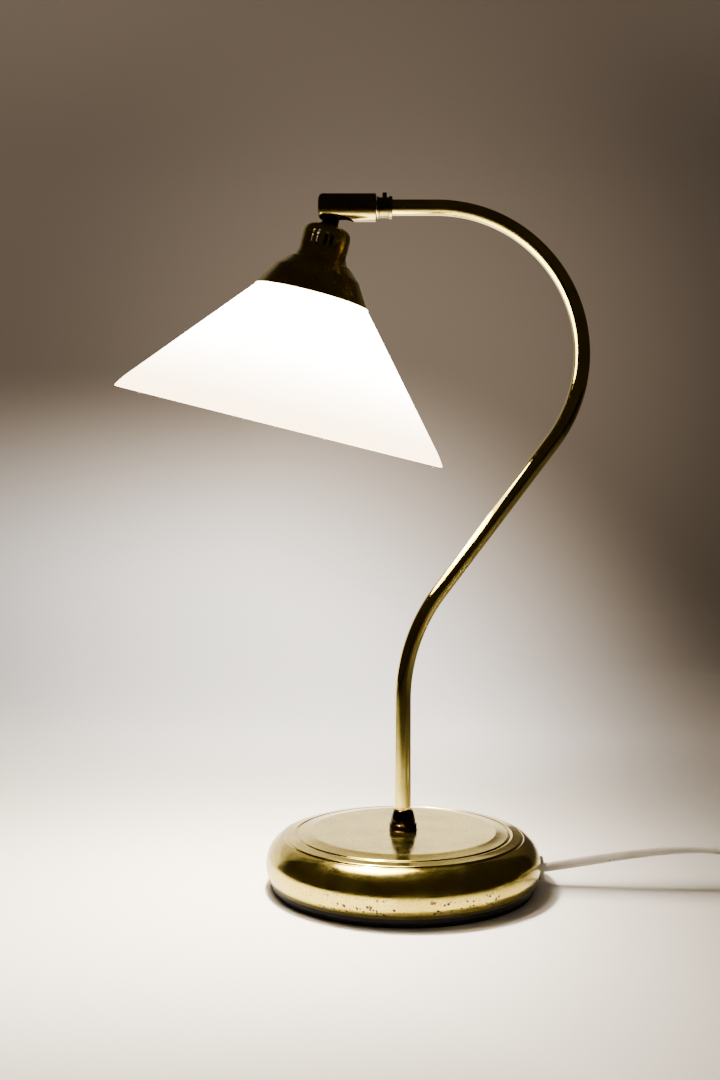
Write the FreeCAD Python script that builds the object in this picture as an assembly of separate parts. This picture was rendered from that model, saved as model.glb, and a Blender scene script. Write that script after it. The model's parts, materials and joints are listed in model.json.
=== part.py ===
import FreeCAD, Part
import math
import os

V = FreeCAD.Vector
UP = V(0, 0, 1)
ACROSS = V(0, 1, 0)
ALONG = V(1, 0, 0)

# A brass swan-neck desk lamp with one opal glass cone shade. Millimetres, +Z up. The origin is on the table,
# under the middle of the foot of the stem. The neck bends in the XZ plane: the shade hangs towards -X and
# the cord leaves the base towards +X.

# base
base_r = 85.7
bulge_z = 18.3
lip_r = 82.8
lip_z = 6.2
disc_z = 35.5
shell_wall = 1.0
pad_r = 82.2
pad_t = 3.0
plate_r = 82.2
weight_r = 70.0
weight_bottom = 15.0
weight_web = 30.0
clamp_x = 60.0
clamp_half = 9.0

# stem: a 10 mm tube that goes up, bends out, and comes over in one large hook to a level arm
tube_r = 5.0
tube_bore_r = 4.0
stem_foot_z = 22.0
arm_z = 424.1
low_bend_z = 117.0
low_bend_r = 113.0
hook_r = 90.8
hook_x = 20.6
ferrule_h = 13.0
arm_end_x = -9.8

# swivel: the barrel turns round the arm on a hollow pin, and the head tilts on a ball inside the barrel
pin_r = 4.5
pin_bore_r = 3.0
running_gap = 0.05
collar_x = (-16.6, -6.9)
barrel_x = (-53.1, -16.9)
set_screw_x = -11.7
barrel_r = 8.75
barrel_bore_r = 7.3
barrel_slot_w = 11.0
barrel_slot_end_x = -30.6
pivot_x = -43.2
ball_r = 7.0
head_tilt = 14.1
head_roll = 3.05

# head, in depths below the pivot along the head's own axis
stud_r = 5.2
stud_bore_r = 3.4
stud_end = 29.0
cup_top = 12.2
cup_lip = 56.9
cup_neck_r = 15.1
glass_top = 42.2
glass_wall = 2.6
glass_slope = 0.857
glass_lip_r = 35.45
rim_depth = 140.0
rim_r = 105.3
holder_r = 13.5
bulb_r = 22.5
bulb_bottom = 124.0

# cord: a flat two-core lead, its in-line switch and its plug
cord_w = 6.2
gland_z = 11.4
gland_face_x = 88.0
lead_r = 2.5
switch_x = (244.0, 306.0)
switch_y = -8.0
switch_w = 26.0
switch_split_z = 9.0
switch_top_z = 17.0
rocker_x = sum(switch_x) / 2
rocker_z = 13.4
rocker_tip = 8.0
rocker_half_l = 8.2
rocker_half_w = 4.6
coil_x = 344.0
coil_y = -55.0
coil_lift = 0.7
coil_in_r = 25.3
coil_out_r = 47.0
plug_face_x = 302.0
plug_y = -98.9
plug_z = 6.85

# the lead's routes: from the gland in a low stiff arch, then down into the switch
supply_route = [(gland_face_x, 0, gland_z), (101, -1.9, 13.9), (122, -5.4, 18.2), (147, -8.1, 22.6),
                (172, -9.0, 25.1), (197, -8.8, 24.6), (216, -8.2, 18.0), (230, -8.0, 11.2),
                (switch_x[0], switch_y, switch_split_z)]
# from the switch down to the table and into the coil
coil_route = [(switch_x[1], switch_y, switch_split_z), (315, -7.8, 7.6), (326, -7.6, 4.7), (336, -7.8, 3.9)]
# off the top of the coil and into the plug
plug_route = [(340, -98.8, 9.9), (330, -99.0, 9.7), (318, -99.1, 7.4), (308, -99.0, 6.9),
              (plug_face_x, plug_y, plug_z)]


def outline(start, *steps):
    """A closed face in the XZ plane. A step of two numbers is a straight line to (x, z), and a step of four
    is an arc through the first pair to the second."""
    here = V(start[0], 0, start[1])
    first = here
    edges = []
    for step in steps:
        there = V(step[-2], 0, step[-1])
        if len(step) == 2:
            edges.append(Part.LineSegment(here, there).toShape())
        else:
            edges.append(Part.Arc(here, V(step[0], 0, step[1]), there).toShape())
        here = there
    if here.distanceToPoint(first) > 1e-6:
        edges.append(Part.LineSegment(here, first).toShape())
    return Part.Face(Part.Wire(edges))


def turned(start, *steps):
    return outline(start, *steps).revolve(V(0, 0, 0), UP, 360)


def ring(outer, inner, low, high):
    """A tube about the Z axis, or a disc where inner is 0."""
    body = Part.makeCylinder(outer, high - low, V(0, 0, low))
    if inner:
        body = body.cut(Part.makeCylinder(inner, high - low + 2, V(0, 0, low - 1)))
    return body


def hex_nut(across_flats, hole_r, low, high):
    """A hexagonal nut about the Z axis, with its corners chamfered."""
    corner = across_flats / math.sqrt(3)
    corners = [V(corner * math.cos(math.radians(60 * k)), corner * math.sin(math.radians(60 * k)), low)
               for k in range(7)]
    body = Part.Face(Part.makePolygon(corners)).extrude(V(0, 0, high - low))
    cone_r = across_flats / 2
    rise = corner - cone_r
    dome = turned((0, low), (cone_r, low), (corner, low + rise * 0.6), (corner, high - rise * 0.6),
                  (cone_r, high), (0, high))
    return body.common(dome).cut(Part.makeCylinder(hole_r, high - low + 2, V(0, 0, low - 1)))


def along_arm(shape):
    """Lays a shape made about Z along the arm: its +Z becomes -X, at the height of the arm."""
    shape = shape.copy()
    shape.rotate(V(0, 0, 0), ACROSS, -90)
    shape.translate(V(0, 0, arm_z))
    return shape


def on_head(shape):
    """Puts a shape made about Z, with the pivot at the origin, where the tilted head has it."""
    shape = shape.copy()
    shape.rotate(V(0, 0, 0), ACROSS, head_tilt)
    shape.translate(V(pivot_x, 0, arm_z))
    return rolled(shape)


def rolled(shape):
    shape = shape.copy()
    shape.rotate(V(0, 0, arm_z), ALONG, head_roll)
    return shape


def joined(shapes):
    return Part.makeCompound(shapes)


def fused(first, *others):
    return first.multiFuse(list(others)).removeSplitter()


# base

def base_shell():
    """Spun brass: flat disc, two scored grooves with a raised ring between them, then a half-round bulge."""
    skin = outline(
        (5.1, disc_z), (57.0, disc_z), (58.5, disc_z - 0.25), (65.9, disc_z - 1.25), (66.6, disc_z - 2.0),
        (67.6, disc_z - 2.1), (68.2, disc_z - 1.5), (73.6, disc_z - 2.4), (74.6, disc_z - 3.3),
        (75.6, disc_z - 3.4), (base_r, bulge_z, lip_r, lip_z), (lip_r - 0.6, lip_z - 0.7),
        (lip_r - 1.5, lip_z - 0.3), (lip_r - 0.9, lip_z + 0.5),
        (base_r - shell_wall, bulge_z, 74.9, disc_z - 4.4), (73.9, disc_z - 4.4), (73.0, disc_z - 3.3),
        (68.6, disc_z - 2.5), (67.9, disc_z - 3.1), (66.2, disc_z - 3.0), (65.5, disc_z - 2.3),
        (58.4, disc_z - 1.25), (57.0, disc_z - shell_wall), (5.1, disc_z - shell_wall))
    shell = skin.revolve(V(0, 0, 0), UP, 360)
    return shell.cut(Part.makeCylinder(5.0, 20, V(base_r - 12, 0, gland_z), ALONG))


def base_weight():
    """Cast iron, clamped under the disc by the nut on the stem."""
    weight = turned((5.6, weight_web), (5.6, disc_z - 1.1), (54.0, disc_z - 1.1), (56.0, disc_z - 3.0),
                    (58.0, weight_web - 3), (weight_r - 2, weight_web - 3), (weight_r, weight_web - 5),
                    (weight_r, weight_bottom), (14.0, weight_bottom), (14.0, weight_web))
    for place in plate_screw_places():
        weight = weight.cut(Part.makeCylinder(2.0, 7, V(place.x, place.y, weight_bottom)))
    for side in (-1, 1):
        weight = weight.cut(Part.makeCylinder(1.5, 5, V(clamp_x, side * clamp_half, weight_bottom)))
    return weight


def plate_screw_places():
    return [V(45 * math.cos(math.radians(a)), 45 * math.sin(math.radians(a)), 0) for a in (60, 180, 300)]


def base_plate():
    """A black pan that closes the shell and stands the lip off the table."""
    plate = turned((0, pad_t + 0.1), (plate_r, pad_t + 0.1), (plate_r, lip_z - 0.8), (80.4, lip_z - 0.8),
                   (80.4, 7.6), (78.6, 7.6), (78.6, 5.0), (0, 5.0))
    plate = plate.cut(Part.makeBox(12, 20, 6, V(74, -10, 5.0)))
    for place in plate_screw_places():
        plate = plate.cut(screw_countersink(place, 0.05))
        plate = plate.cut(Part.makeCylinder(2.1, 4, V(place.x, place.y, 2)))
    return plate


def screw_countersink(place, gap):
    return Part.makeCone(3.6 + gap, 2.0 + gap, 1.8, V(place.x, place.y, pad_t + 0.15))


def plate_screws():
    """Three countersunk screws, up into the weight, each with a cross recess."""
    screws = []
    for place in plate_screw_places():
        screw = screw_countersink(place, 0).fuse(
            Part.makeCylinder(2.0, 16.8, V(place.x, place.y, pad_t + 1.9)))
        for size in ((4.2, 0.9), (0.9, 4.2)):
            screw = screw.cut(Part.makeBox(size[0], size[1], 1.0, V(
                place.x - size[0] / 2, place.y - size[1] / 2, pad_t + 0.15)))
        screws.append(screw)
    return joined(screws)


def foot_pad():
    return turned((0, 0), (pad_r - 1.6, 0), (pad_r - 1.1, 0.5), (pad_r, pad_t - 0.3), (pad_r - 0.3, pad_t),
                  (0, pad_t))


def cord_clamp():
    """A saddle under the weight that grips the lead, so a pull never reaches the lampholder."""
    block = Part.makeBox(10, 26, weight_bottom - 7.3, V(clamp_x - 5, -13, 7.2))
    block = block.makeFillet(1.5, [e for e in block.Edges if abs(e.tangentAt(e.FirstParameter).z) > 0.9])
    block = block.cut(Part.makeCylinder(lead_r + 0.05, 20, V(clamp_x - 10, 0, gland_z), ALONG))
    for side in (-1, 1):
        block = block.cut(Part.makeCylinder(1.6, 12, V(clamp_x, side * clamp_half, 6)))
    return block


def clamp_screws():
    screws = []
    for side in (-1, 1):
        place = V(clamp_x, side * clamp_half, 0)
        head = Part.makeCylinder(2.8, 2.0, V(place.x, place.y, 5.15))
        head = head.cut(Part.makeBox(6, 0.8, 0.8, V(place.x - 3, place.y - 0.4, 5.1)))
        screws.append(head.fuse(Part.makeCylinder(1.5, 12.6, V(place.x, place.y, 7.15))))
    return joined(screws)


def cord_gland():
    """Flanged nylon bushing through the side of the shell."""
    bush = ring(4.9, 3.9, 0, 12).fuse(ring(7.25, 3.9, 9.4, 12))
    bush = bush.makeFillet(0.9, [e for e in bush.Edges if abs(e.BoundBox.ZMax - 12) < 1e-6
                                 and abs(e.BoundBox.ZMin - 12) < 1e-6 and e.BoundBox.XMax > 7])
    bush.rotate(V(0, 0, 0), ACROSS, 90)
    bush.translate(V(gland_face_x - 12, 0, gland_z))
    # behind the flange the bushing is trimmed to the shell's round side, except through its hole
    inside = turned((0, 3), (lip_r, lip_z - 3), (lip_r, lip_z), (base_r, bulge_z, 75.6, disc_z - 3.4),
                    (0, disc_z))
    return bush.cut(inside.cut(Part.makeCylinder(4.95, 40, V(60, 0, gland_z), ALONG)))


def gland_nut():
    nut = hex_nut(12.2, 4.95, 0, 3.5)
    nut.rotate(V(0, 0, 0), UP, 30)
    nut.rotate(V(0, 0, 0), ACROSS, 90)
    nut.translate(V(77.4, 0, gland_z))
    return nut


# stem

def stem_lean():
    """The straight stretch runs along the inner tangent of the two bends."""
    dx = hook_x - low_bend_r
    dz = arm_z - hook_r - low_bend_z
    return math.asin((low_bend_r + hook_r) / math.hypot(dx, dz)) + math.atan2(dx, dz)


def stem_path(start_edges, start, end_x):
    """The stem's centreline, from start, a point on the Z axis, to the end of the level arm."""
    lean = stem_lean()
    hook_z = arm_z - hook_r

    def on_low(turn):
        return V(low_bend_r - low_bend_r * math.cos(turn), 0, low_bend_z + low_bend_r * math.sin(turn))

    def on_hook(turn):
        return V(hook_x + hook_r * math.cos(turn), 0, hook_z + hook_r * math.sin(turn))

    edges = list(start_edges)
    edges.append(Part.LineSegment(start, on_low(0)).toShape())
    edges.append(Part.Arc(on_low(0), on_low(lean / 2), on_low(lean)).toShape())
    edges.append(Part.LineSegment(on_low(lean), on_hook(-lean)).toShape())
    edges.append(Part.Arc(on_hook(-lean), on_hook(math.pi / 4 - lean / 2), on_hook(math.pi / 2)).toShape())
    edges.append(Part.LineSegment(on_hook(math.pi / 2), V(end_x, 0, arm_z)).toShape())
    return Part.Wire(edges)


def swept(path, radius, inner=0):
    first = path.OrderedEdges[0]
    start = first.firstVertex(True).Point
    heading = first.tangentAt(first.FirstParameter)
    if (first.valueAt(first.FirstParameter) - start).Length > 1e-6:
        heading = first.tangentAt(first.LastParameter) * -1

    def pipe(r):
        return path.makePipeShell([Part.Wire(Part.makeCircle(r, start, heading))], True, False)

    return pipe(radius).cut(pipe(inner)) if inner else pipe(radius)


def stem_tube():
    return swept(stem_path([], V(0, 0, stem_foot_z), arm_end_x), tube_r, tube_bore_r)


def stem_lead():
    """The lead inside: from the gland, under the weight, up the stem and out along the arm."""
    bend = stem_foot_z - gland_z + 0.5
    start = V(gland_face_x - 9, 0, gland_z)
    corner = V(bend, 0, gland_z)
    top = V(0, 0, gland_z + bend)
    middle = V(bend * (1 - math.cos(math.pi / 4)), 0, gland_z + bend * (1 - math.sin(math.pi / 4)))
    first = [Part.LineSegment(start, corner).toShape(), Part.Arc(corner, middle, top).toShape()]
    return swept(stem_path(first, top, arm_end_x - 16), lead_r)


def stem_ferrule():
    """Turned cover round the stem's foot: a straight ring, a fine groove, then a cone up to the tube."""
    top = disc_z + ferrule_h
    return turned((tube_r + 0.05, disc_z), (8.9, disc_z), (9.0, disc_z + 0.3), (8.7, disc_z + 0.7),
                  (8.7, disc_z + 4.1), (8.4, disc_z + 4.5), (7.6, disc_z + 4.6), (7.8, disc_z + 5.4),
                  (7.2, disc_z + 9.0, 6.1, top - 0.3), (5.8, top), (tube_r + 0.05, top))


def stem_washer():
    return ring(12.0, tube_r + 0.05, weight_web - 2.0, weight_web)


def stem_nut():
    return hex_nut(17, tube_r + 0.02, weight_web - 7.0, weight_web - 2.02)


# swivel, made about Z: Z is the distance along -X from the stem's axis

def arm_collar():
    """Sleeve on the end of the arm, cut with fine rings between two flanges."""
    low, high = -collar_x[1], -collar_x[0]
    steps = [(5.4, low), (6.7, low), (7.0, low + 0.3), (7.0, low + 2.1), (6.7, low + 2.4)]
    z = low + 2.6
    while z < high - 1.8:
        steps += [(6.2, z), (6.2, z + 0.4), (6.6, z + 0.6), (6.6, z + 0.9)]
        z += 1.1
    steps += [(6.2, high - 1.2), (6.9, high - 1.0), (6.9, high), (pin_r + 0.02, high),
              (pin_r + 0.02, -arm_end_x + 0.1), (tube_r + 0.02, -arm_end_x + 0.1), (tube_r + 0.02, low)]
    collar = along_arm(turned((tube_r + 0.02, low), *steps))
    return collar.cut(Part.makeCylinder(1.4, 10, V(set_screw_x, 0, arm_z)))


def collar_set_screw():
    screw = Part.makeCylinder(1.4, 9.0 - pin_r - 0.05, V(set_screw_x, 0, arm_z + pin_r + 0.05))
    return screw.cut(Part.makeBox(4, 0.6, 1.0, V(set_screw_x - 2, -0.3, arm_z + 8.1)))


def swivel_pin():
    return along_arm(turned((pin_bore_r, 10.2), (pin_r - 0.3, 10.2), (pin_r, 10.5), (pin_r, 27.3),
                            (pin_r - 0.3, 27.6), (pin_bore_r, 27.6)))


def swivel_nut():
    """Holds the barrel on the pin, and stays still with it."""
    return along_arm(hex_nut(11.6, pin_r + 0.02, 23.75, 27.3))


def friction_washer():
    return along_arm(turned((pin_r + 0.08, 22.75), (6.9, 22.45), (6.9, 23.35), (pin_r + 0.08, 23.65)))


def barrel_plug():
    """Threaded ring that closes the barrel's open end and turns on the pin."""
    low, high = -barrel_x[1] + 0.1, 22.4
    bore = pin_r + running_gap
    return rolled(along_arm(turned((bore, low), (7.0, low), (7.24, low + 0.3), (7.24, high), (bore, high))))


def swivel_barrel():
    low, high = -barrel_x[1], -barrel_x[0]
    round_r = 3.0
    tube = turned((7.3, low), (8.2, low), (barrel_r, low + 0.5), (barrel_r, high - round_r),
                  (barrel_r - round_r * 0.293, high - round_r * 0.293, barrel_r - round_r, high),
                  (0, high), (0, 50.5), (barrel_bore_r, 50.5))
    tube = along_arm(tube)
    width = barrel_slot_w / 2
    slot = Part.makeBox(barrel_slot_end_x - width + 60, barrel_slot_w, 11, V(-60, -width, arm_z - 11))
    slot = slot.fuse(Part.makeCylinder(width, 11, V(barrel_slot_end_x - width, 0, arm_z - 11)))
    return rolled(tube.cut(slot))


def friction_shoe():
    """Spring-loaded cup with a coned seat that presses on the ball, cut away below for the stud's swing."""
    hole_r, shoe_r, back, front = 2.9, 7.0, 31.6, 38.2
    seat_depth = 1.9
    mouth_r = 5.5
    shoe = along_arm(turned((hole_r, back), (shoe_r, back), (shoe_r, front), (mouth_r, front),
                            (hole_r, front - seat_depth)))
    return rolled(shoe.cut(Part.makeBox(10, 20, 8, V(-40, -10, arm_z - 11.2))))


def shoe_springs():
    """Two disc springs, back to back, between the swivel nut and the shoe."""
    springs = [turned((3.6, 28.2), (6.6, 28.9), (6.6, 29.6), (3.6, 28.9)),
               turned((3.6, 31.4), (6.6, 30.7), (6.6, 30.0), (3.6, 30.7))]
    return rolled(along_arm(joined(springs)))


# head, made about Z with the pivot at the origin and depth downwards

def tilt_knuckle():
    """Ball and hollow stud in one."""
    knuckle = Part.makeSphere(ball_r).fuse(Part.makeCylinder(stud_r, stud_end, V(0, 0, -stud_end)))
    knuckle = knuckle.cut(Part.makeCylinder(stud_bore_r, stud_end + 2, V(0, 0, -stud_end - 1)))
    return on_head(knuckle.cut(Part.makeCylinder(stud_bore_r, 10, V(0, 0, 0), ALONG)))


def cup_washer():
    """Black washer between the barrel and the cup, coned so that it clears the barrel when the head tilts."""
    return on_head(turned((5.3, -cup_top), (6.9, -cup_top), (6.9, -11.6), (5.6, -10.7), (5.3, -10.7)))


def shade_cup():
    """Spun brass cup: vented neck, concave flare with two fine steps, and a skirt over the glass."""
    cup = turned(
        (5.3, -cup_top), (9.0, -cup_top), (13.5, -14.0, cup_neck_r, -18.2), (cup_neck_r, -26.0),
        (15.9, -31.2, 18.0, -34.6), (18.9, -34.7), (19.8, -35.9), (20.8, -36.0), (25.6, -40.6),
        (27.3, -42.3, 28.6, -44.4), (36.45, -cup_lip + 0.3), (36.4, -cup_lip), (35.65, -cup_lip),
        (27.8, -44.6), (26.5, -42.6, 24.9, -41.2), (20.0, -36.9), (17.4, -35.0),
        (15.1, -31.2, 14.3, -26.0), (14.3, -18.4), (12.9, -14.9, 8.8, -13.0), (5.3, -13.0))
    vents = []
    for group in (-97, 23, 143):
        for offset in (-23.5, -9.5, 9.5, 23.5):
            vent = vent_slot()
            vent.rotate(V(0, 0, 0), UP, group + offset)
            vents.append(vent)
    return on_head(cup.cut(joined(vents)))


def vent_slot():
    """A cutter for one upright slot with round ends, through the neck's wall on the +X side."""
    width, top, bottom = 2.1, 17.2, 26.4
    box = Part.makeBox(8, width, bottom - top - width, V(11, -width / 2, -bottom + width / 2))
    ends = [Part.makeCylinder(width / 2, 8, V(11, 0, -z), ALONG)
            for z in (top + width / 2, bottom - width / 2)]
    return fused(box, *ends)


def stud_nut():
    return on_head(hex_nut(14, stud_r + 0.02, -17.5, -13.02))


def holder_body():
    """Moulded lampholder: screws on the stud, carries the glass under its flange."""
    return on_head(turned(
        (stud_r + 0.05, -24.0), (10.5, -24.0), (12.0, -24.6, 12.6, -26.0), (holder_r, -38.4),
        (17.2, -38.4), (17.2, -glass_top + 0.1), (holder_r, -glass_top + 0.1), (holder_r, -66.0),
        (11.6, -66.0), (11.6, -28.0), (stud_r + 0.05, -28.0)))


def holder_core():
    """Ceramic insulator with two raised terminal blocks."""
    core = ring(11.4, 0, -44.0, -36.0)
    for side in (-1, 1):
        core = core.fuse(Part.makeBox(5.0, 7.0, 3.4, V(side * 7 - 2.5, -3.5, -36.1)))
        core = core.cut(Part.makeCylinder(1.3, 6, V(side * 7, 0, -37)))
    return on_head(core.removeSplitter())


def terminal_screws():
    screws = []
    for side in (-1, 1):
        screw = Part.makeCylinder(1.25, 4.1, V(side * 7, 0, -36.7)).fuse(
            Part.makeCylinder(2.3, 1.6, V(side * 7, 0, -32.65)))
        screws.append(screw.cut(Part.makeBox(5, 0.6, 0.7, V(side * 7 - 2.5, -0.3, -31.7))))
    return on_head(joined(screws))


def screw_shell():
    """Thin threaded shell that the bulb's cap screws into."""
    return on_head(ring(8.0, 7.4, -64.0, -44.05))


def centre_contact():
    return on_head(turned((0, -44.05), (3.2, -44.05), (3.2, -44.6), (1.6, -45.9), (0, -45.9)))


def shade_ring():
    """Screws up the lampholder and clamps the glass against its flange."""
    low, high = -50.0, -glass_top - glass_wall - 0.1
    rim = ring(19.4, holder_r + 0.02, low, high)
    for k in range(18):
        notch = Part.makeCylinder(0.9, 8, V(19.9, 0, low - 1))
        notch.rotate(V(0, 0, 0), UP, 20 * k)
        rim = rim.cut(notch)
    return on_head(rim)


def glass_shade():
    """Opal glass, one even wall: a flat collar at the top, a straight cone, and a rim that turns down."""
    def skin_r(depth):
        return glass_lip_r + glass_slope * (depth - cup_lip + 0.2)

    inset = glass_wall * math.hypot(1, glass_slope)
    turn_at = rim_depth - 10
    hole_r = holder_r + 1.1
    bottom = glass_top + glass_wall
    return on_head(turned(
        (hole_r, -glass_top), (21.2, -glass_top),
        (23.1, -glass_top - 0.5, skin_r(44.6), -44.6),
        (skin_r(turn_at), -turn_at),
        (skin_r(135.2) - 0.35, -135.2, rim_r - 0.2, -rim_depth + 0.3),
        (rim_r - 0.6, -rim_depth), (rim_r - 2.7, -rim_depth), (rim_r - 3.1, -rim_depth + 0.4),
        (skin_r(135.6) - inset - 0.15, -135.6, skin_r(turn_at + 1.7) - inset, -turn_at - 1.7),
        (skin_r(47.4) - inset, -47.4), (21.6, -bottom - 0.6, 19.6, -bottom), (hole_r, -bottom)))


def bulb_glass():
    """Round lamp bulb, a hollow glass shell with a short neck."""
    centre = V(0, 0, bulb_r - bulb_bottom)
    wall = 0.7
    neck = turned((6.5, -71.5), (12.4, -73.2), (12.9, -77.0), (17.2, -87.0), (6.5, -87.0))
    hollow = turned((6.4, -72.3), (11.7, -73.9), (12.2, -77.1), (16.5, -87.1), (6.4, -87.1))
    globe = Part.makeSphere(bulb_r, centre).fuse(neck)
    globe = globe.cut(Part.makeSphere(bulb_r - wall, centre)).cut(hollow)
    return on_head(globe.cut(Part.makeCylinder(6.5, 20, V(0, 0, -87.0))))


def bulb_cap():
    """Screw cap: a thin metal shell with a rolled thread, closed by the insulator below it."""
    steps = [(5.4, -48.0), (6.4, -48.0)]
    for k in range(5):
        z = -49.6 - 2.8 * k
        steps += [(6.35, z), (7.0, z - 0.7), (7.0, z - 1.3), (6.35, z - 2.0)]
    steps += [(6.6, -66.6), (12.6, -71.0), (13.1, -72.0), (13.1, -76.4), (12.95, -76.4), (12.45, -73.1),
              (6.4, -71.4), (5.4, -66.8)]
    return on_head(turned((5.4, -48.0), *steps[1:]))


def bulb_insulator():
    return on_head(turned((2.4, -46.9), (3.6, -46.9), (5.3, -47.95), (5.3, -50.0), (2.4, -50.0)))


def bulb_contact():
    return on_head(turned((0, -45.95), (1.7, -46.1), (2.35, -46.6), (2.35, -49.0), (0, -49.0)))


def filament_support():
    """Glass stem inside the bulb, with two wires up to the filament."""
    stem = turned((0, -72.0), (5.3, -72.0), (4.4, -75.0), (2.4, -82.0), (2.2, -89.0), (0, -89.8))
    wires = [Part.makeCylinder(0.3, 14, V(side * 1.6, 0, -88.5), V(side * 0.55, 0, -1)) for side in (-1, 1)]
    return on_head(fused(stem, *wires))


def filament():
    """A coiled filament drawn as a bow of wire across the two supports."""
    reach = 1.6 + 14 * 0.55 / math.hypot(0.55, 1)
    depth = 88.5 + 14 / math.hypot(0.55, 1) + 0.75
    left, right = V(-reach, 0, -depth), V(reach, 0, -depth)
    bow = Part.Wire([Part.Arc(left, V(0, 0, -depth - 5), right).toShape()])
    return on_head(swept(bow, 0.45))


def head_lead():
    return on_head(Part.makeCylinder(lead_r, 22, V(0, 0, -29.5)))


# cord

def rounded_route(points, name):
    """Straight runs joined by tangent arcs. Each arc's radius is 0.45 of the shorter run beside it, divided
    by the tangent of half the turn."""
    edges = []
    here = points[0]
    radii = []
    for before, corner, after in zip(points, points[1:], points[2:]):
        back, ahead = before - corner, after - corner
        reach = 0.45 * min(back.Length, ahead.Length)
        back.normalize()
        ahead.normalize()
        half = (math.pi - back.getAngle(ahead)) / 2
        radii.append(reach / math.tan(half))
        first, last = corner + back * reach, corner + ahead * reach
        inward = back + ahead
        inward.normalize()
        middle = corner + inward * (radii[-1] / math.cos(half) - radii[-1])
        edges.append(Part.LineSegment(here, first).toShape())
        edges.append(Part.Arc(first, middle, last).toShape())
        here = last
    edges.append(Part.LineSegment(here, points[-1]).toShape())
    wire = Part.Wire(edges)
    print(name, "length %.1f" % wire.Length, "radii", [round(r) for r in radii])
    return wire


def cord_stretch(points, name):
    """One stretch of the lead that isn't coiled, as a round tube of the lead's width."""
    path = rounded_route([V(*p) for p in points], name)
    tube = swept(path, cord_w / 2)
    print(name, "volume", round(tube.Volume), "section x length",
          round(math.pi * cord_w ** 2 / 4 * path.Length))
    return tube


def supply_cord():
    return cord_stretch(supply_route, "supply_cord")


def coil_lead():
    return cord_stretch(coil_route, "coil_lead")


def plug_lead():
    return cord_stretch(plug_route, "plug_lead")


def cord_coil():
    """The put-away length: the outer shape of two layers of turns."""
    low, high = coil_lift, coil_lift + 2 * cord_w
    inner, outer = coil_in_r - cord_w / 2, coil_out_r + cord_w / 2
    soft = 2.4
    bundle = turned((inner + soft, low), (outer - soft, low),
                    (outer - soft * 0.29, low + soft * 0.29, outer, low + soft), (outer, high - soft),
                    (outer - soft * 0.29, high - soft * 0.29, outer - soft, high), (inner + soft, high),
                    (inner + soft * 0.29, high - soft * 0.29, inner, high - soft), (inner, low + soft),
                    (inner + soft * 0.29, low + soft * 0.29, inner + soft, low))
    bundle.translate(V(coil_x, coil_y, 0))
    return bundle


def cord_tie():
    """A flat band round all the turns, on the side of the coil away from the lamp."""
    band, width = 0.6, 6.0
    inner, outer = coil_in_r - cord_w / 2 - 0.4, coil_out_r + cord_w / 2 + 0.1
    low, high = coil_lift - 0.05, coil_lift + 2 * cord_w + 0.1
    loop = Part.makeBox(outer - inner + 2 * band, width, high - low + 2 * band,
                        V(inner - band, -width / 2, low - band))
    loop = loop.makeFillet(1.4, [e for e in loop.Edges if abs(e.tangentAt(e.FirstParameter).y) > 0.9])
    loop = loop.cut(Part.makeBox(outer - inner, width + 2, high - low, V(inner, -width / 2 - 1, low)))
    loop.translate(V(coil_x, coil_y, 0))
    return loop


# in-line switch

def switch_block(low, high, end_r, soft_top):
    """A long block with round ends, softened along its top or bottom edge."""
    block = Part.makeBox(switch_x[1] - switch_x[0], switch_w, high - low,
                         V(switch_x[0], switch_y - switch_w / 2, low))
    block = block.makeFillet(end_r, [e for e in block.Edges if abs(e.tangentAt(e.FirstParameter).z) > 0.9])
    level = high if soft_top else low
    edge = [e for e in block.Edges if abs(e.BoundBox.ZMax - level) < 1e-6
            and abs(e.BoundBox.ZMin - level) < 1e-6]
    return block.makeFillet(2.6 if soft_top else 1.2, edge)


def switch_cavity(low, high):
    wall = 1.8
    return Part.makeBox(switch_x[1] - switch_x[0] - 2 * wall - 8, switch_w - 2 * wall - 4, high - low,
                        V(switch_x[0] + wall + 4, switch_y - switch_w / 2 + wall + 2, low))


def cord_hole():
    return Part.makeCylinder(cord_w / 2 - 0.6, 80, V(switch_x[0] - 9, switch_y, switch_split_z), ALONG)


def switch_screw_places():
    return [V(x, switch_y, 0) for x in (switch_x[0] + 14.5, switch_x[1] - 14.5)]


def switch_base():
    shell = switch_block(0, switch_split_z, 9.0, False)
    shell = shell.cut(switch_cavity(2.0, switch_split_z + 1)).cut(cord_hole())
    for place in switch_screw_places():
        post = Part.makeCylinder(3.2, 5.2, V(place.x, place.y, 1.9))
        shell = shell.fuse(post).cut(Part.makeCylinder(1.3, 5, V(place.x, place.y, 3.0)))
    return shell.removeSplitter()


def switch_cover():
    shell = switch_block(switch_split_z, switch_top_z, 9.0, True)
    shell = shell.cut(switch_cavity(switch_split_z - 1, switch_top_z - 2.0)).cut(cord_hole())
    window = Part.makeBox(2 * rocker_half_l + 0.8, 2 * rocker_half_w + 0.8, 6,
                          V(rocker_x - rocker_half_l - 0.4, switch_y - rocker_half_w - 0.4, 13))
    return shell.cut(window)


def switch_screws():
    screws = []
    for place in switch_screw_places():
        screw = Part.makeCylinder(1.28, 4.6, V(place.x, place.y, 3.2)).fuse(
            Part.makeCylinder(2.4, 1.3, V(place.x, place.y, 7.15)))
        screws.append(screw.cut(Part.makeBox(6, 0.6, 0.7, V(place.x - 3, place.y - 0.3, 7.8))))
    return joined(screws)


def switch_contacts():
    """A fixed brass strip under each end of the rocker."""
    strips = []
    for side in (-1, 1):
        strips.append(Part.makeBox(5.5, 4, 0.8, V(rocker_x + side * 9.75 - 2.75, switch_y - 2, 2.05)))
        strips.append(Part.makeBox(1, 4, 3.4, V(rocker_x + side * 7.5 - 0.5, switch_y - 2, 2.85)))
    return joined([strips[0].fuse(strips[1]), strips[2].fuse(strips[3])])


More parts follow.
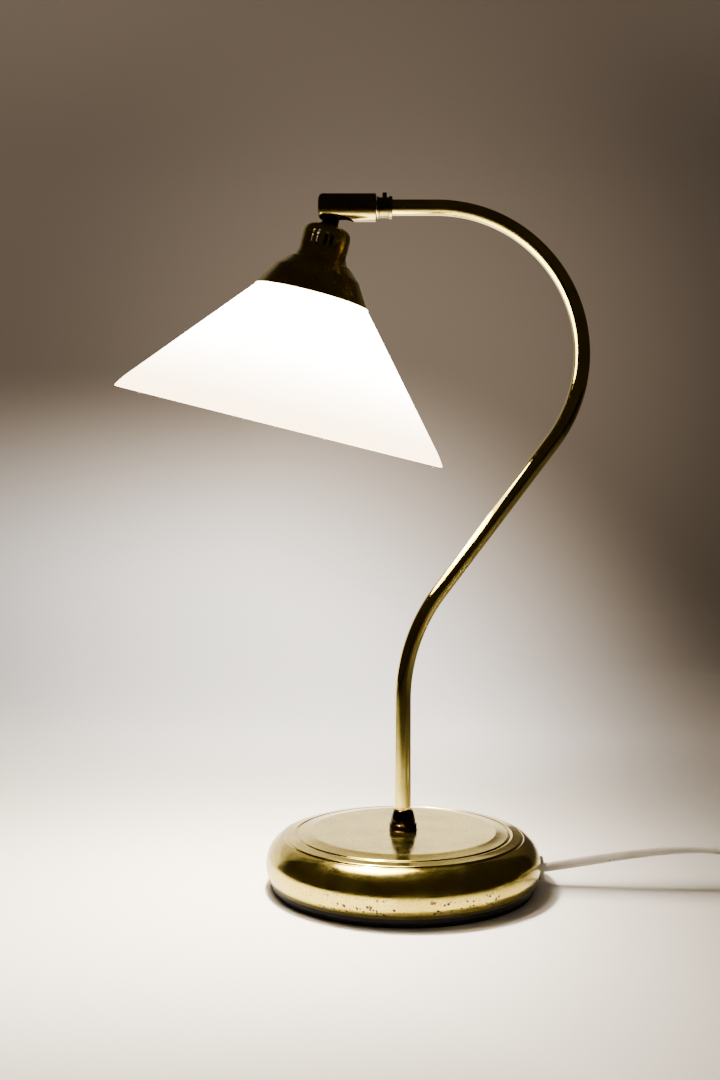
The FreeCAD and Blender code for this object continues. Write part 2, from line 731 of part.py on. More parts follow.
def switch_rocker():
    """Rocks about Y. Its two top facets slope down from the middle, and the +X end is pressed in at rest."""
    half = rocker_half_l
    face = outline((rocker_x - half, rocker_z - 1.6), (rocker_x + half, rocker_z - 1.6),
                   (rocker_x + half, rocker_z + 2.6), (rocker_x, rocker_z + 4.0),
                   (rocker_x - half, rocker_z + 2.6))
    rocker = face.extrude(V(0, 2 * rocker_half_w, 0))
    rocker.translate(V(0, switch_y - rocker_half_w, 0))
    top = [e for e in rocker.Edges if e.BoundBox.ZMin > rocker_z + 2.5]
    rocker = rocker.makeFillet(0.6, top)
    stem = Part.makeBox(2.4, 4, 5, V(rocker_x - 1.2, switch_y - 2, rocker_z - 6.4))
    rocker = rocker.fuse(stem).removeSplitter()
    rocker.rotate(V(rocker_x, switch_y, rocker_z), ACROSS, rocker_tip)
    return rocker


# plug

def plug_body():
    """Flat two-pin plug: a tapered moulding with a ribbed tail."""
    half = 17.2
    length = 34.0
    tip = plug_face_x
    plan = [(tip, 3.6), (tip - 9, 4.6), (tip - 15, 10.5), (tip - 22, half), (tip - length, half)]
    corners = [V(x, plug_y + y, 0) for x, y in plan] + [V(x, plug_y - y, 0) for x, y in reversed(plan)]
    body = Part.Face(Part.makePolygon(corners + corners[:1])).extrude(V(0, 0, 2 * plug_z))
    side = Part.makeCylinder(90, 90, V(tip - 20, plug_y - 45, plug_z - 90 + plug_z), ACROSS)
    body = body.common(side)
    return body.makeFillet(1.5, [e for e in body.Edges if abs(e.tangentAt(e.FirstParameter).z) > 0.9])


def plug_pins():
    pins = []
    face = plug_face_x - 34.0
    for side in (-1, 1):
        shaft = Part.makeCylinder(2.0, 18.0, V(face, plug_y + side * 9.3, plug_z), V(-1, 0, 0))
        tip = Part.makeSphere(2.0, V(face - 17.0, plug_y + side * 9.3, plug_z))
        pins.append(shaft.common(Part.makeBox(17.0, 10, 10, V(
            face - 17.0, plug_y + side * 9.3 - 5, plug_z - 5))).fuse(tip).removeSplitter())
    return joined(pins)


makers = [
    base_shell, base_weight, base_plate, plate_screws, foot_pad, cord_clamp, clamp_screws, cord_gland,
    gland_nut, stem_tube, stem_lead, stem_ferrule, stem_washer, stem_nut,
    arm_collar, collar_set_screw, swivel_pin, swivel_nut, friction_washer,
    barrel_plug, swivel_barrel, friction_shoe, shoe_springs,
    tilt_knuckle, cup_washer, shade_cup, stud_nut, holder_body, holder_core, terminal_screws, screw_shell,
    centre_contact, shade_ring, glass_shade, bulb_glass, bulb_cap, bulb_insulator, bulb_contact,
    filament_support, filament, head_lead,
    supply_cord, coil_lead, plug_lead, cord_coil, cord_tie,
    switch_base, switch_cover, switch_screws, switch_contacts, switch_rocker, plug_body, plug_pins,
]

os.makedirs("parts", exist_ok=True)
for maker in makers:
    shape = maker()
    if not shape.isValid():
        print("not valid:", maker.__name__)
    shape.exportStep("parts/" + maker.__name__ + ".step")
    box = shape.BoundBox
    print("%-18s solids %d volume %8.0f  x %.1f %.1f  y %.1f %.1f  z %.1f %.1f" % (
        maker.__name__, len(shape.Solids), shape.Volume, box.XMin, box.XMax, box.YMin, box.YMax,
        box.ZMin, box.ZMax))
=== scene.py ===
import bpy
import json
import math
from mathutils import Matrix, Vector


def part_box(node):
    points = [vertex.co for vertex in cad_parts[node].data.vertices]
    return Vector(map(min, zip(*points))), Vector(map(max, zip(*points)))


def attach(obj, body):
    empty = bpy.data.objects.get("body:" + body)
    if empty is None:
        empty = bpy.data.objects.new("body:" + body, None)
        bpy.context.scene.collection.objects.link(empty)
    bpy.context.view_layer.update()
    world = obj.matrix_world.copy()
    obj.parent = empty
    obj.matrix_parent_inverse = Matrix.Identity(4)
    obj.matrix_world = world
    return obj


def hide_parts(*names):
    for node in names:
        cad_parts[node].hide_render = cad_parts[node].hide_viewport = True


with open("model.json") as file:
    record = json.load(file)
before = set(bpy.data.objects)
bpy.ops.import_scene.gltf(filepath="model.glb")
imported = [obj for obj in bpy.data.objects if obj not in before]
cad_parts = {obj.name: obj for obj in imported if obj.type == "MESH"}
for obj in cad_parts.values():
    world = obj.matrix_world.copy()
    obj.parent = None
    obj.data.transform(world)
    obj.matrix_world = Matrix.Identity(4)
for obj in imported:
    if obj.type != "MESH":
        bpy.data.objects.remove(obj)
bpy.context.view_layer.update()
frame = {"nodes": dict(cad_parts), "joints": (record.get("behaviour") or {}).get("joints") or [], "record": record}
nodes = frame["nodes"]
joints = {joint["name"]: joint for joint in frame["joints"]}
mm = 0.001
weldReach = 2e-6   # metres
arcSteps = dict(spacing=0.9, fewest=4, most=24)   # millimetres between the points of an arc


def deselectAll():
    bpy.ops.object.select_all(action="DESELECT")


def activate(piece):
    deselectAll()
    piece.select_set(True)
    bpy.context.view_layer.objects.active = piece


def editMode():
    bpy.ops.object.mode_set(mode="EDIT")


def objectMode():
    bpy.ops.object.mode_set(mode="OBJECT")


def selectMesh():
    bpy.ops.mesh.select_all(action="SELECT")


def extrude(step):
    bpy.ops.mesh.extrude_region_move(TRANSFORM_OT_translate={"value": step})


def pointAt(name, spot):
    # a mesh of one point, left in edit mode
    deselectAll()
    bpy.ops.mesh.primitive_plane_add(size=1)
    piece = bpy.context.object
    piece.name = piece.data.name = name
    editMode()
    selectMesh()
    bpy.ops.mesh.merge(type="CENTER")
    bpy.ops.transform.translate(value=spot)
    return piece


def weld():
    selectMesh()
    bpy.ops.mesh.remove_doubles(threshold=weldReach)


def faceOutward():
    # from edit mode to object mode, with the normals outward all over
    selectMesh()
    bpy.ops.mesh.normals_make_consistent(inside=False)
    objectMode()


def smooth(piece, crease=32):
    # the crease is in degrees: sharper edges stay sharp
    activate(piece)
    bpy.ops.object.shade_smooth_by_angle(angle=math.radians(crease))


def applyModifier(piece, kind, **settings):
    activate(piece)
    modifier = piece.modifiers.new(kind.lower(), kind)
    for name, value in settings.items():
        setattr(modifier, name, value)
    bpy.ops.object.modifier_apply(modifier=modifier.name)


def cutWith(piece, cutter):
    applyModifier(piece, "BOOLEAN", operation="DIFFERENCE", solver="EXACT", object=cutter)
    bpy.data.objects.remove(cutter)


def arc(start, via, end, steps):
    # points of the circle through three (radius, height) points, without the first one
    ax, ay, bx, by, cx, cy = *start, *via, *end
    d = 2 * (ax * (by - cy) + bx * (cy - ay) + cx * (ay - by))
    a2, b2, c2 = ax * ax + ay * ay, bx * bx + by * by, cx * cx + cy * cy
    centre = Vector(((a2 * (by - cy) + b2 * (cy - ay) + c2 * (ay - by)) / d,
                     (a2 * (cx - bx) + b2 * (ax - cx) + c2 * (bx - ax)) / d))
    first, middle, last = [math.atan2(y - centre.y, x - centre.x) for x, y in (start, via, end)]
    full = 2 * math.pi
    sweep = (last - first) % full
    if (middle - first) % full > sweep:
        sweep -= full
    radius = math.hypot(ax - centre.x, ay - centre.y)
    return [(centre.x + radius * math.cos(first + sweep * k / steps),
             centre.y + radius * math.sin(first + sweep * k / steps)) for k in range(1, steps + 1)]


def profile(start, *steps):
    # an outline in millimetres: two numbers are a straight step, four an arc by way of the first two
    points = [start]
    for step in steps:
        if len(step) == 2:
            points.append(step)
        else:
            reach = math.dist(points[-1], step[2:])
            count = max(arcSteps["fewest"], min(arcSteps["most"], round(reach / arcSteps["spacing"])))
            points += arc(points[-1], step[:2], step[2:], count)
    return points


def turned(name, points, segments):
    # a point is extruded along the outline and the outline is spun about Z
    piece = pointAt(name, (points[0][0] * mm, 0, points[0][1] * mm))
    loop = points + points[:1]
    for before, after in zip(loop, loop[1:]):
        extrude(((after[0] - before[0]) * mm, 0, (after[1] - before[1]) * mm))
    selectMesh()
    bpy.ops.mesh.spin(steps=segments, angle=2 * math.pi, center=(0, 0, 0), axis=(0, 0, 1))
    weld()
    faceOutward()
    smooth(piece)
    return piece


def place(piece, matrix):
    activate(piece)
    piece.matrix_world = matrix @ piece.matrix_world
    bpy.ops.object.transform_apply(location=True, rotation=True, scale=True)


def standsFor(piece, body, slot, material, *replaced):
    piece.data.materials.clear()
    piece.data.materials.append(material)
    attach(piece, body)
    if replaced:
        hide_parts(*replaced)


def hexColour(code):
    # an sRGB hex value as linear numbers
    parts = [int(code[i:i + 2], 16) / 255 for i in (1, 3, 5)]
    return tuple(p / 12.92 if p <= 0.04045 else ((p + 0.055) / 1.055) ** 2.4 for p in parts) + (1.0,)


def feed(tree, socket, value):
    # a link when the value comes out of another node, else the value itself
    if isinstance(value, bpy.types.NodeSocket):
        tree.links.new(value, socket)
    else:
        socket.default_value = value


def addNode(tree, kind, settings=None, inputs=None):
    # one shader node: settings are its own properties, inputs are values or links for its sockets
    made = tree.nodes.new(kind)
    for name, value in (settings or {}).items():
        setattr(made, name, value)
    for name, value in (inputs or {}).items():
        feed(tree, made.inputs[name], value)
    return made


cameraSetup = dict(place=(-27, -775, 235), pitch=-1.3, focal=41.33, sensor=36, nearest=10)


def makeCamera():
    data = bpy.data.cameras.new("camera")
    data.sensor_width = cameraSetup["sensor"]
    data.lens = cameraSetup["focal"]
    data.clip_start = cameraSetup["nearest"] * mm
    camera = bpy.data.objects.new("camera", data)
    bpy.context.scene.collection.objects.link(camera)
    camera.location = Vector(cameraSetup["place"]) * mm
    camera.rotation_euler = (math.radians(90 + cameraSetup["pitch"]), 0, 0)
    bpy.context.scene.camera = camera


makeCamera()
print("camera ready")


# the lead's route in millimetres, the same points as its tubes have
supplyRoute = [(88, 0, 11.4), (101, -1.9, 13.9), (122, -5.4, 18.2), (147, -8.1, 22.6), (172, -9.0, 25.1),
               (197, -8.8, 24.6), (216, -8.2, 18.0), (230, -8.0, 11.2), (244, -8.0, 9.0)]
switchRun = [(262, -8.1, 9.0), (288, -8.0, 9.0)]
coilRoute = [(306, -8.0, 9.0), (315, -7.8, 7.6), (326, -7.6, 4.7), (336, -7.8, 3.9)]
plugRoute = [(340, -98.8, 9.9), (330, -99.0, 9.7), (318, -99.1, 7.4), (308, -99.0, 6.9), (302, -98.9, 6.85)]

cord = dict(width=6.2, thick=4.1, coilX=344, coilY=-55, outer=47.0, lift=0.7,
            turnsDown=3.5, turnsUp=3.0, perTurn=14, length=1730, smoothing=6,
            around=24, squareness=0.8, dip=0.13, dipWidth=0.3,   # of the section
            onEdge=14, flat=78, turnStart=8, turnOver=125)       # degrees, and millimetres along the lead


def coilTurns():
    # clockwise from the top of the coil: a bottom layer that winds inwards, then a top layer that winds out
    low = cord["lift"] + cord["width"] / 2
    downSteps = int(cord["turnsDown"] * cord["perTurn"])
    upSteps = int(cord["turnsUp"] * cord["perTurn"])
    rise = cord["perTurn"] / 2
    grow = cord["width"] / cord["perTurn"]
    points = []
    for step in range(1, downSteps + upSteps):
        inward = min(step, downSteps)
        radius = cord["outer"] - grow * inward + grow * (step - inward)
        climb = min(max((step - downSteps + rise) / rise, 0), 1)
        angle = math.pi / 2 - 2 * math.pi * step / cord["perTurn"]
        points.append((cord["coilX"] + radius * math.cos(angle), cord["coilY"] + radius * math.sin(angle),
                       low + cord["width"] * climb))
    return points


def cordLine():
    # the smooth line of the whole lead, read from a spline through the route's control points
    points = supplyRoute + switchRun + coilRoute + coilTurns() + plugRoute
    curve = bpy.data.curves.new("cordLine", "CURVE")
    curve.dimensions = "3D"
    curve.resolution_u = cord["smoothing"]
    spline = curve.splines.new("NURBS")
    spline.points.add(len(points) - 1)
    for point, spot in zip(spline.points, points):
        point.co = (*(Vector(spot) * mm), 1)
    spline.order_u = 3
    spline.use_endpoint_u = True
    holder = bpy.data.objects.new("cordLine", curve)
    bpy.context.scene.collection.objects.link(holder)
    mesh = bpy.data.meshes.new_from_object(holder.evaluated_get(bpy.context.evaluated_depsgraph_get()))
    line = [v.co.copy() for v in mesh.vertices]
    bpy.data.objects.remove(holder)
    bpy.data.meshes.remove(mesh)
    return line


def cordSection():
    # two round lobes side by side with a shallow dip between them
    section = []
    for k in range(cord["around"]):
        a = 2 * math.pi * k / cord["around"]
        dip = 1 - cord["dip"] * math.exp(-(math.cos(a) / cord["dipWidth"]) ** 2)
        wide = cord["width"] / 2 * math.copysign(abs(math.cos(a)) ** cord["squareness"], math.cos(a))
        section.append((wide * mm, cord["thick"] / 2 * mm * math.sin(a) * dip))
    return section


def cordTurn(distance):
    # the flat lead leaves the bushing on edge and has turned over on its side by the switch
    share = min(max((distance / mm - cord["turnStart"]) / cord["turnOver"], 0), 1)
    return math.radians(cord["onEdge"] + (cord["flat"] - cord["onEdge"]) * share * share * (3 - 2 * share))


def makeCord(line):
    section = cordSection()
    around = cord["around"]
    travelled = [0.0]
    for a, b in zip(line, line[1:]):
        travelled.append(travelled[-1] + (b - a).length)
    verts, faces, along = [], [], []
    for i, spot in enumerate(line):
        heading = (line[min(i + 1, len(line) - 1)] - line[max(i - 1, 0)]).normalized()
        upright = (Vector((0, 0, 1)) - heading * heading.z).normalized()
        turn = cordTurn(travelled[i])
        wide = upright * math.cos(turn) + heading.cross(upright) * math.sin(turn)
        thin = heading.cross(wide)
        for u, v in section:
            verts.append(spot + wide * u + thin * v)
            along.append((u, v, travelled[i]))
    for i in range(len(line) - 1):
        for k in range(around):
            n = (k + 1) % around
            faces.append((i * around + k, i * around + n, (i + 1) * around + n, (i + 1) * around + k))
    faces.append(tuple(reversed(range(around))))
    faces.append(tuple(range((len(line) - 1) * around, len(line) * around)))
    mesh = bpy.data.meshes.new("flatLead")
    mesh.from_pydata(verts, [], faces)
    leadPlace = mesh.attributes.new("leadPlace", "FLOAT_VECTOR", "POINT")
    for i, value in enumerate(along):
        leadPlace.data[i].vector = value
    piece = bpy.data.objects.new("flatLead", mesh)
    bpy.context.scene.collection.objects.link(piece)
    activate(piece)
    editMode()
    faceOutward()
    bpy.ops.object.shade_smooth()
    return piece


leadLine = cordLine()
lead = makeCord(leadLine)
print("lead made,", len(leadLine), "points along it")


metre = 1000   # noise scales are given per metre: metre / (size in millimetres)


def newMaterial(name, **inputs):
    material = bpy.data.materials.new(name)
    material.use_nodes = True
    tree = material.node_tree
    shader = tree.nodes["Principled BSDF"]
    for key, value in inputs.items():
        shader.inputs[key.replace("_", " ")].default_value = value
    return material, tree, shader


def objectPlace(tree, stretch=(1, 1, 1)):
    coordinates = addNode(tree, "ShaderNodeTexCoord")
    return addNode(tree, "ShaderNodeMapping", None, {
        "Vector": coordinates.outputs["Object"], "Scale": stretch}).outputs["Vector"]


def noise(tree, vector, size, detail):
    # a noise whose blotches are about size millimetres across
    return addNode(tree, "ShaderNodeTexNoise", None, {
        "Vector": vector, "Scale": metre / size, "Detail": detail, "Roughness": 0.55}).outputs["Fac"]


def ramp(tree, value, low, high, dark=0.0, light=1.0):
    return addNode(tree, "ShaderNodeMapRange", {"interpolation_type": "SMOOTHSTEP"}, {
        "Value": value, "From Min": low, "From Max": high,
        "To Min": dark, "To Max": light}).outputs["Result"]


def maths(tree, operation, a, b=0.0):
    made = addNode(tree, "ShaderNodeMath", {"operation": operation})
    for socket, value in zip(made.inputs, (a, b)):
        feed(tree, socket, value)
    return made.outputs["Value"]


def multiply(tree, *values):
    result = values[0]
    for value in values[1:]:
        result = maths(tree, "MULTIPLY", result, value)
    return result


def mixColour(tree, share, first, second):
    # a mix node's colour sockets share their names with its other kinds, so they are found by number
    made = addNode(tree, "ShaderNodeMix", {"data_type": "RGBA"})
    for index, value in ((0, share), (6, first), (7, second)):
        feed(tree, made.inputs[index], hexColour(value) if isinstance(value, str) else value)
    return made.outputs[2]


def bump(tree, shader, height, depth, strength):
    # depth in millimetres
    made = addNode(tree, "ShaderNodeBump", None, {
        "Height": height, "Distance": depth * mm, "Strength": strength})
    tree.links.new(made.outputs["Normal"], shader.inputs["Normal"])


def within(tree, axis, centre, half, soft):
    # 1 inside a band of an axis and 0 outside it, all in millimetres
    away = maths(tree, "ABSOLUTE", maths(tree, "SUBTRACT", axis, centre * mm))
    return ramp(tree, away, (half + soft) * mm, (half - soft) * mm)


# marks of wear on the base shell; the last entry gives the heights of a band of painted shade above the foot ring
wearAndPaintedShade = dict(cloud=26, grain=1.2, haze=9, rings=0.5,
            pitGap=1.9, pitEdge=0.9, pitZ=(10.5, 6.5, 3.0), pitX=(5, 56, 18), pitY=(-45, -62), patch=10,
            grooves=((67.1, 0.45, 0.25), (75.2, 0.4, 0.3)), grooveBlotch=5, grooveDarkZ=(29, 30.5), footShadeZ=(9.2, 7.2))


def brassPits(tree, spot, axes):
    # brown pits of many sizes where the lacquer has failed, low in front
    cells = addNode(tree, "ShaderNodeTexVoronoi", {"distance": "EUCLIDEAN"}, {
        "Vector": spot, "Scale": metre / wearAndPaintedShade["pitGap"]})
    chance = addNode(tree, "ShaderNodeSeparateColor", None, {"Color": cells.outputs["Color"]}).outputs
    wobble = multiply(tree, maths(tree, "SUBTRACT", noise(tree, spot, wearAndPaintedShade["pitEdge"], 3), 0.5), 0.55)
    edge = maths(tree, "ADD", cells.outputs["Distance"], wobble)
    size = multiply(tree, maths(tree, "POWER", chance["Red"], 2.2), 0.6)
    pit = ramp(tree, maths(tree, "SUBTRACT", edge, size), 0.06, 0.0)
    region = multiply(tree, within(tree, axes["Z"], *wearAndPaintedShade["pitZ"]), within(tree, axes["X"], *wearAndPaintedShade["pitX"]))
    region = multiply(tree, region, ramp(tree, axes["Y"], wearAndPaintedShade["pitY"][0] * mm, wearAndPaintedShade["pitY"][1] * mm))
    patches = ramp(tree, noise(tree, spot, wearAndPaintedShade["patch"], 2), 0.32, 0.44)
    chosen = ramp(tree, chance["Green"], 0.15, 0.17)
    return multiply(tree, multiply(tree, pit, chosen), multiply(tree, region, patches))


def grooveDarkening(tree, spot, axes, far):
    # the two scored grooves are darkened brown near the top of the disc, unevenly
    grooves = maths(tree, "ADD", *[within(tree, far, *groove) for groove in wearAndPaintedShade["grooves"]])
    nearTop = ramp(tree, axes["Z"], wearAndPaintedShade["grooveDarkZ"][0] * mm, wearAndPaintedShade["grooveDarkZ"][1] * mm)
    uneven = ramp(tree, noise(tree, spot, wearAndPaintedShade["grooveBlotch"], 3), 0.35, 0.65, 0.05, 0.5)
    return multiply(tree, grooves, nearTop, uneven)


def polishedBrass():
    # spun, polished and lacquered brass, some years old: a clear pale mirror, a little cloudy, with turning
    # marks round the disc, pits low in front, and a dark band of painted shade where it meets the foot ring
    material, tree, shader = newMaterial("polishedBrass", Metallic=1.0)
    spot = objectPlace(tree)
    grain = noise(tree, spot, wearAndPaintedShade["grain"], 3)
    tone = mixColour(tree, ramp(tree, noise(tree, spot, wearAndPaintedShade["cloud"], 4), 0.35, 0.7), "#D3C35F", "#BCAA4D")
    tone = mixColour(tree, ramp(tree, grain, 0.42, 0.68, 0, 0.42), tone, "#7C692C")
    axes = addNode(tree, "ShaderNodeSeparateXYZ", None, {"Vector": spot}).outputs
    pit = brassPits(tree, spot, axes)
    tone = mixColour(tree, pit, tone, "#3A1D0C")
    level = addNode(tree, "ShaderNodeCombineXYZ", None, {"X": axes["X"], "Y": axes["Y"]}).outputs["Vector"]
    far = addNode(tree, "ShaderNodeVectorMath", {"operation": "LENGTH"}, {"Vector": level}).outputs["Value"]
    tone = mixColour(tree, grooveDarkening(tree, spot, axes, far), tone, "#4A3217")
    # painted shade: the shell turns near black towards its lip and its gloss is dulled there, standing in for the
    # shadow and the reflected black foot ring
    paintedShadeAtFoot = ramp(tree, axes["Z"], wearAndPaintedShade["footShadeZ"][0] * mm, wearAndPaintedShade["footShadeZ"][1] * mm, 0.0, 0.93)
    tone = mixColour(tree, paintedShadeAtFoot, tone, "#120D06")
    tree.links.new(tone, shader.inputs["Base Color"])
    haze = ramp(tree, noise(tree, spot, wearAndPaintedShade["haze"], 3), 0.3, 0.75, 0.12, 0.2)
    dull = multiply(tree, maths(tree, "MAXIMUM", pit, paintedShadeAtFoot), 0.45)
    tree.links.new(maths(tree, "ADD", haze, dull), shader.inputs["Roughness"])
    tree.links.new(maths(tree, "SUBTRACT", 1.0, multiply(tree, pit, 0.7)), shader.inputs["Metallic"])
    # the turning marks are drawn coarser than real ones so that they show
    rings = maths(tree, "SINE", multiply(tree, far, 2 * math.pi / (wearAndPaintedShade["rings"] * mm)))
    relief = maths(tree, "ADD", multiply(tree, rings, 0.012), multiply(tree, grain, 0.12))
    bump(tree, shader, maths(tree, "SUBTRACT", relief, pit), 0.05, 0.5)
    return material


def tubeBrass():
    # drawn brass tube, polished and lacquered: a mirror with long faint draw lines and small dull specks
    material, tree, shader = newMaterial("drawnBrassTube", Metallic=1.0)
    spot = objectPlace(tree)
    fine = noise(tree, spot, 1.6, 3)
    tone = mixColour(tree, ramp(tree, noise(tree, spot, 18, 4), 0.35, 0.7), "#D6C86B", "#BCAC55")
    tone = mixColour(tree, ramp(tree, fine, 0.60, 0.72, 0, 0.35), tone, "#7C6230")
    tree.links.new(tone, shader.inputs["Base Color"])
    tree.links.new(ramp(tree, fine, 0.3, 0.75, 0.035, 0.08), shader.inputs["Roughness"])
    bump(tree, shader, noise(tree, spot, 2.4, 3), 0.03, 0.35)
    return material


def shadedBrass(name, tone, shade, rough, stretch):
    # the same lacquered brass on the turned fittings, darker and more olive than the tube as painted shade for
    # the dark room it mirrors, with fine streaks left by the polishing mop, which run along the axis with the
    # small scale
    material, tree, shader = newMaterial(name, Metallic=1.0)
    streaks = noise(tree, objectPlace(tree, stretch), 0.7, 3)
    colour = mixColour(tree, ramp(tree, noise(tree, objectPlace(tree), 11, 3), 0.3, 0.7), tone, shade)
    colour = mixColour(tree, ramp(tree, streaks, 0.5, 0.8, 0, 0.3), colour, "#5A461F")
    tree.links.new(colour, shader.inputs["Base Color"])
    tree.links.new(ramp(tree, streaks, 0.3, 0.75, rough, rough + 0.08), shader.inputs["Roughness"])
    bump(tree, shader, streaks, 0.01, 0.3)
    return material


glow = dict(cup=24.0, rim=9.5, bulbDark=14.0, bulbBright=18.0)


def opalGlass():
    # cased opal glass with the lamp lit: white all over, brightest beside the bulb and creamy at the rim
    material, tree, shader = newMaterial("opalGlass", Roughness=0.16, IOR=1.5)
    fromCup = addNode(tree, "ShaderNodeAttribute", {"attribute_name": "fromCup"}).outputs["Fac"]
    cloud = noise(tree, objectPlace(tree), 22, 3)
    shader.inputs["Base Color"].default_value = hexColour("#F6F1E6")
    warmth = mixColour(tree, ramp(tree, fromCup, 0.45, 1.0), "#FFF9EE", "#FFDFB0")
    tree.links.new(warmth, shader.inputs["Emission Color"])
    power = ramp(tree, fromCup, 0.3, 0.95, glow["cup"], glow["rim"])
    uneven = maths(tree, "ADD", 0.94, multiply(tree, cloud, 0.12))
    tree.links.new(multiply(tree, power, uneven), shader.inputs["Emission Strength"])
    bump(tree, shader, cloud, 0.15, 0.25)
    return material


def frostedBulb():
    # a lit bulb with an opal coating, white and evenly bright with a hotter middle
    material, tree, shader = newMaterial("opalBulbGlass", Roughness=0.3, IOR=1.5)
    cloud = noise(tree, objectPlace(tree), 12, 3)
    tree.links.new(mixColour(tree, cloud, "#FFF8EA", "#FFEFD2"), shader.inputs["Base Color"])
    tree.links.new(mixColour(tree, cloud, "#FFF3DA", "#FFE6BC"), shader.inputs["Emission Color"])
    power = ramp(tree, cloud, 0.3, 0.7, glow["bulbDark"], glow["bulbBright"])
    tree.links.new(power, shader.inputs["Emission Strength"])
    return material


def moulded(name, colour, shade, rough, grainSize, grainDepth=0.02, fleck=0.25, shine=0.5):
    # a moulded or rolled surface: a fine grain, a slow drift of tone and a little dust in the hollows
    material, tree, shader = newMaterial(name, IOR=1.5, Specular_IOR_Level=shine)
    spot = objectPlace(tree)
    grain = noise(tree, spot, grainSize, 3)
    tone = mixColour(tree, ramp(tree, noise(tree, spot, grainSize * 14, 4), 0.3, 0.7), colour, shade)
    tone = mixColour(tree, ramp(tree, grain, 0.62, 0.8, 0, fleck), tone, "#8B857A")
    tree.links.new(tone, shader.inputs["Base Color"])
    tree.links.new(ramp(tree, grain, 0.3, 0.7, rough - 0.07, rough + 0.09), shader.inputs["Roughness"])
    bump(tree, shader, grain, grainDepth, 0.6)
    return material


def metalFinish(name, colour, shade, rough, grainSize, grainDepth=0.02):
    # a bare or plated metal: blotchy tone and a grain that breaks up its gloss
    material, tree, shader = newMaterial(name, Metallic=1.0)
    spot = objectPlace(tree)
    grain = noise(tree, spot, grainSize, 3)
    tone = mixColour(tree, ramp(tree, noise(tree, spot, grainSize * 8, 4), 0.35, 0.65), colour, shade)
    tree.links.new(tone, shader.inputs["Base Color"])
    tree.links.new(ramp(tree, grain, 0.3, 0.7, rough - 0.06, rough + 0.1), shader.inputs["Roughness"])
    bump(tree, shader, grain, grainDepth, 0.6)
    return material


def clearGlass():
    # pressed clear glass of the bulb's inner stem: transparent, with faint waves
    material, tree, shader = newMaterial("clearBulbGlass", Roughness=0.03, IOR=1.5, Transmission_Weight=1.0)
    wave = noise(tree, objectPlace(tree), 3, 2)
    tree.links.new(mixColour(tree, wave, "#F4F8F6", "#E6EEEA"), shader.inputs["Base Color"])
    bump(tree, shader, wave, 0.05, 0.4)
    return material


leadMarks = dict(along=(44, 9, 3), across=(-0.4, 0.8, 0.3), groove=(0.9, 0.15))


def pvcLead():
    # soft PVC of a two-core lead, once white: grey where handled, darker along the groove between the cores, a few
    # brown marks and the slight slack waves of an extruded skin
    material, tree, shader = newMaterial("pvcLead", IOR=1.53)
    here = addNode(tree, "ShaderNodeAttribute", {"attribute_name": "leadPlace"}).outputs["Vector"]
    axes = addNode(tree, "ShaderNodeSeparateXYZ", None, {"Vector": here}).outputs
    cloud = noise(tree, here, 16, 4)
    grain = noise(tree, here, 0.7, 3)
    tone = mixColour(tree, ramp(tree, cloud, 0.3, 0.7), "#BFBAB0", "#A8A297")
    wide, narrow = leadMarks["groove"]
    groove = ramp(tree, maths(tree, "ABSOLUTE", axes["X"]), wide * mm, narrow * mm, 0, 0.5)
    tone = mixColour(tree, groove, tone, "#8F877A")
    marks = multiply(tree, within(tree, axes["Z"], *leadMarks["along"]),
                     ramp(tree, noise(tree, here, 1.3, 3), 0.6, 0.64),
                     within(tree, axes["X"], *leadMarks["across"]))
    tone = mixColour(tree, marks, tone, "#5B4632")
    tree.links.new(tone, shader.inputs["Base Color"])
    tree.links.new(ramp(tree, grain, 0.3, 0.7, 0.34, 0.5), shader.inputs["Roughness"])
    bump(tree, shader, maths(tree, "ADD", grain, multiply(tree, cloud, 2.0)), 0.03, 0.5)
    return material


brass = polishedBrass()
tube = tubeBrass()
# shaded copies of the one brass, darker as painted shade: the turned fittings, the shade's cup and the stem's
# ferrule
shadedBrassAlong = shadedBrass("shadedBrassFittings", "#8E7E42", "#786832", rough=0.1, stretch=(0.1, 1, 1))
shadedBrassUp = shadedBrass("shadedBrassCup", "#C0B060", "#A8984C", rough=0.2, stretch=(1, 1, 0.1))
shadedBrassFoot = shadedBrass("shadedBrassFerrule", "#40341A", "#33280F", rough=0.1, stretch=(1, 1, 0.1))
finishes = dict(
    brass=brass, dark_brass=shadedBrassAlong,
    black_plastic=moulded("mouldedPolypropylene", "#0A0908", "#100E0D", rough=0.5, grainSize=0.5,
                          fleck=0.03, shine=0.05),
    phenolic=moulded("phenolicMoulding", "#17100D", "#20150F", rough=0.3, grainSize=0.8, fleck=0.05),
    foam=moulded("closedCellFoam", "#070606", "#0C0B0A", rough=0.9, grainSize=0.9, grainDepth=0.12,
                 fleck=0.03, shine=0.05),
    cast_iron=metalFinish("sandCastIron", "#3E3D3E", "#2B2A2B", rough=0.62, grainSize=1.4, grainDepth=0.25),
    steel=metalFinish("zincPlatedSteel", "#C9CCD2", "#A9ACB4", rough=0.3, grainSize=0.9),
    nylon=moulded("mouldedNylon", "#A79F8E", "#938B79", rough=0.42, grainSize=0.7),
    white_pvc=pvcLead(),
    white_plastic=moulded("mouldedAbs", "#E6E4DE", "#DCD9D1", rough=0.32, grainSize=0.45),
    opal_glass=opalGlass(), bulb_glass=frostedBulb(), clear_glass=clearGlass(),
    ceramic=moulded("steatiteCeramic", "#E9E2D3", "#DDD4C2", rough=0.5, grainSize=0.6),
    tungsten=metalFinish("tungstenWire", "#8A8782", "#6F6C68", rough=0.4, grainSize=0.3),
    contact_brass=metalFinish("stampedBrass", "#DCC58C", "#B99D5E", rough=0.26, grainSize=1.2))
slotOf = {part["node"]: part["material_slot"] for part in frame["record"]["subparts"]}
